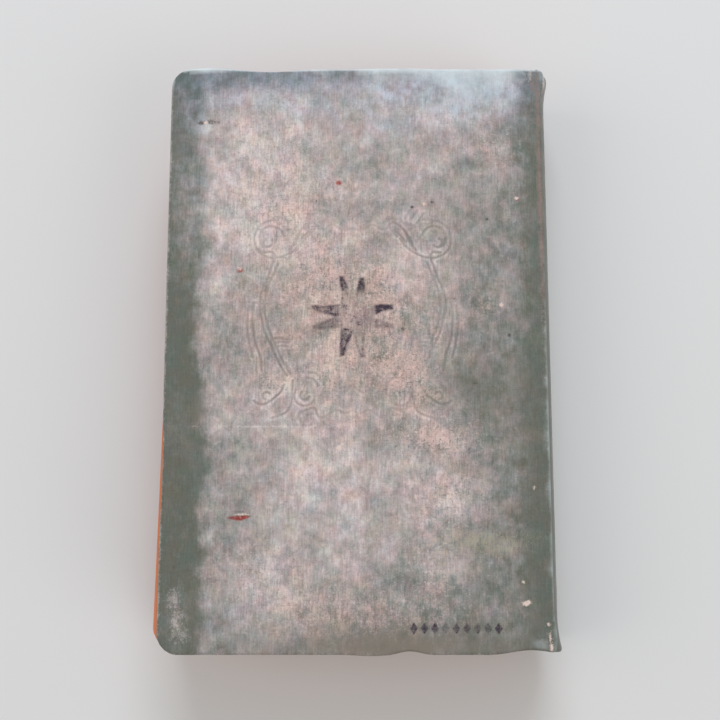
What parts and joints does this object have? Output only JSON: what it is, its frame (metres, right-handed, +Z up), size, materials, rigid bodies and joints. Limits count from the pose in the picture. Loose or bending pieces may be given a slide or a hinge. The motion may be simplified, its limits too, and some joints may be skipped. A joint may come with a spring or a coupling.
{
  "type": "prayer book",
  "caption": "Small sewn prayer book in a limp cloth case, lying face down: rounded spine, rounded fore-edge corners, covers that open on cloth joints, and rear leaves that turn.",
  "frame": {"origin": "centre of the bounding box's bottom face, which is the outer face of the front cover", "axes": "+X to the spine, +Y to the head of the book, +Z up through the closed book"},
  "size_m": [0.1074, 0.16, 0.0292],
  "materials": {
    "book_cloth": "matte, worn",
    "board_card": "matte pressed card",
    "endpaper": "matte, aged",
    "leaf_paper": "matte, with red-stained edges",
    "lining_paper": "matte",
    "mull_cloth": "matte, open weave",
    "tape_cloth": "matte",
    "linen_thread": "matte",
    "endband_cloth": "matte"
  },
  "bodies": {
    "text_block": {"section_01": "leaf_paper", "section_02": "leaf_paper", "section_03": "leaf_paper", "section_04": "leaf_paper", "section_05": "leaf_paper", "section_06": "leaf_paper", "section_07": "leaf_paper", "section_08": "leaf_paper", "section_09": "leaf_paper", "section_10": "leaf_paper", "section_11": "leaf_paper", "section_12": "leaf_paper", "section_13": "leaf_paper", "section_14": "leaf_paper", "section_15": "leaf_paper", "section_16": "leaf_paper", "section_17": "leaf_paper", "section_18": "leaf_paper", "section_19": "leaf_paper", "section_20": "leaf_paper", "section_21": "leaf_paper", "section_22": "leaf_paper", "section_23": "leaf_paper", "section_24": "leaf_paper", "leaf_stubs": "leaf_paper", "sewing_tapes": "tape_cloth", "sewing_thread": "linen_thread", "mull": "mull_cloth", "spine_lining": "lining_paper", "head_band": "endband_cloth", "tail_band": "endband_cloth", "spine_inlay": "board_card", "spine_cloth": "book_cloth"},
    "front_cover": {"front_cloth": "book_cloth", "front_board": "board_card", "front_pastedown": "endpaper", "front_flyleaf": "endpaper", "front_joint_cloth": "book_cloth"},
    "rear_cover": {"rear_cloth": "book_cloth", "rear_board": "board_card", "rear_pastedown": "endpaper", "rear_joint_cloth": "book_cloth"},
    "rear_flyleaf": {"rear_flyleaf": "endpaper"},
    "turning_leaf_1": {"turning_leaf_1": "leaf_paper"},
    "turning_leaf_2": {"turning_leaf_2": "leaf_paper"},
    "turning_leaf_3": {"turning_leaf_3": "leaf_paper"},
    "turning_leaf_4": {"turning_leaf_4": "leaf_paper"}
  },
  "joints": [
    {"name": "front_hinge", "type": "hinge", "parent": "text_block", "child": "front_cover", "pos_m": [0.0487, 0, 0.0009], "axis": [0, -1, 0], "range_deg": [0, 180], "deforming": ["front_joint_cloth"]},
    {"name": "rear_hinge", "type": "hinge", "parent": "text_block", "child": "rear_cover", "pos_m": [0.0487, 0, 0.02826], "axis": [0, 1, 0], "range_deg": [0, 180], "deforming": ["rear_joint_cloth"]},
    {"name": "rear_flyleaf_turn", "type": "hinge", "parent": "text_block", "child": "rear_flyleaf", "pos_m": [0.0437, 0, 0.027], "axis": [0, 1, 0], "range_deg": [0, 150]},
    {"name": "turning_leaf_1_turn", "type": "hinge", "parent": "text_block", "child": "turning_leaf_1", "pos_m": [0.043, 0, 0.02671], "axis": [0, 1, 0], "range_deg": [0, 120]},
    {"name": "turning_leaf_2_turn", "type": "hinge", "parent": "text_block", "child": "turning_leaf_2", "pos_m": [0.0423, 0, 0.02641], "axis": [0, 1, 0], "range_deg": [0, 90]},
    {"name": "turning_leaf_3_turn", "type": "hinge", "parent": "text_block", "child": "turning_leaf_3", "pos_m": [0.0416, 0, 0.0261], "axis": [0, 1, 0], "range_deg": [0, 60]},
    {"name": "turning_leaf_4_turn", "type": "hinge", "parent": "text_block", "child": "turning_leaf_4", "pos_m": [0.0409, 0, 0.02578], "axis": [0, 1, 0], "range_deg": [0, 30]}
  ],
  "couplings": [
    {"joint": "rear_flyleaf_turn", "follows": "rear_hinge", "ratio": 0.83333},
    {"joint": "turning_leaf_1_turn", "follows": "rear_hinge", "ratio": 0.66667},
    {"joint": "turning_leaf_2_turn", "follows": "rear_hinge", "ratio": 0.5},
    {"joint": "turning_leaf_3_turn", "follows": "rear_hinge", "ratio": 0.33333},
    {"joint": "turning_leaf_4_turn", "follows": "rear_hinge", "ratio": 0.16667}
  ]
}
